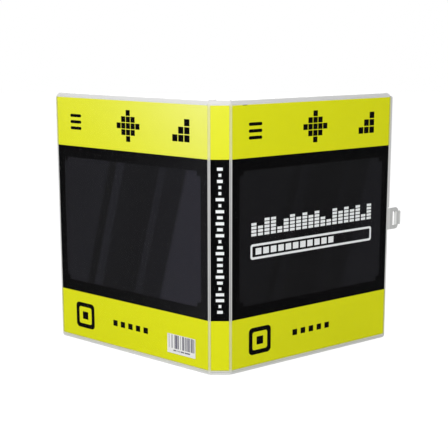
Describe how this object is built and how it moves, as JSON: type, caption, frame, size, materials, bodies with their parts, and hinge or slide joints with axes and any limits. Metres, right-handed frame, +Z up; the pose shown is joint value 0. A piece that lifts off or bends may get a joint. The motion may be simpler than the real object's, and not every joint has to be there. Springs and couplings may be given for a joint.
{
  "type": "game cartridge case",
  "caption": "Moulded flip case that stands open like a book: two hinged covers and a spine in clear printed sleeves, a slotted clasp, and rings inside for pages of cartridge pockets.",
  "frame": {"origin": "middle of the spine's bottom edge, where the open case stands", "axes": "+Z up along the spine, +Y from the spine's outer face into the case, +X towards the front cover"},
  "size_m": [0.3185, 0.1275, 0.23],
  "materials": {
    "polypropylene": "frosted, slightly see-through",
    "printed_card": "printed card",
    "clear_film": "clear gloss film",
    "label_paper": "matt paper",
    "ring_plastic": "satin",
    "page_film": "clear soft film"
  },
  "bodies": {
    "spine": {"spine_panel": "polypropylene", "spine_card": "printed_card", "spine_sleeve": "clear_film", "front_hinge_web": "polypropylene", "back_hinge_web": "polypropylene"},
    "front_cover": {"front_cover": "polypropylene", "front_card": "printed_card", "front_sleeve": "clear_film", "clasp_web": "polypropylene"},
    "back_cover": {"back_cover": "polypropylene", "back_card": "printed_card", "back_sleeve": "clear_film", "price_label": "label_paper", "ring_base": "ring_plastic", "ring_rivets": "ring_plastic", "pocket_page_1": "page_film", "pocket_page_2": "page_film", "pocket_page_3": "page_film"},
    "clasp": {"clasp_flap": "polypropylene"},
    "ring_bar": {"ring_bar": "ring_plastic"}
  },
  "joints": [
    {"name": "front_cover_hinge", "type": "hinge", "parent": "spine", "child": "front_cover", "pos_m": [0.0088, -0.0006, 0.115], "axis": [0, 0, 1], "range_deg": [-36, 54], "deforming": ["front_hinge_web"]},
    {"name": "back_cover_hinge", "type": "hinge", "parent": "spine", "child": "back_cover", "pos_m": [-0.0088, -0.0006, 0.115], "axis": [0, 0, -1], "range_deg": [-39.6, 50.4], "deforming": ["back_hinge_web"]},
    {"name": "clasp_hinge", "type": "hinge", "parent": "front_cover", "child": "clasp", "pos_m": [0.15725, 0.10726, 0.115], "axis": [0, 0, 1], "range_deg": [-20, 90], "deforming": ["clasp_web"]},
    {"name": "ring_bar_hinge", "type": "hinge", "parent": "back_cover", "child": "ring_bar", "pos_m": [-0.01242, 0.00914, 0.115], "axis": [0, 0, -1], "range_deg": [0, 30]}
  ]
}
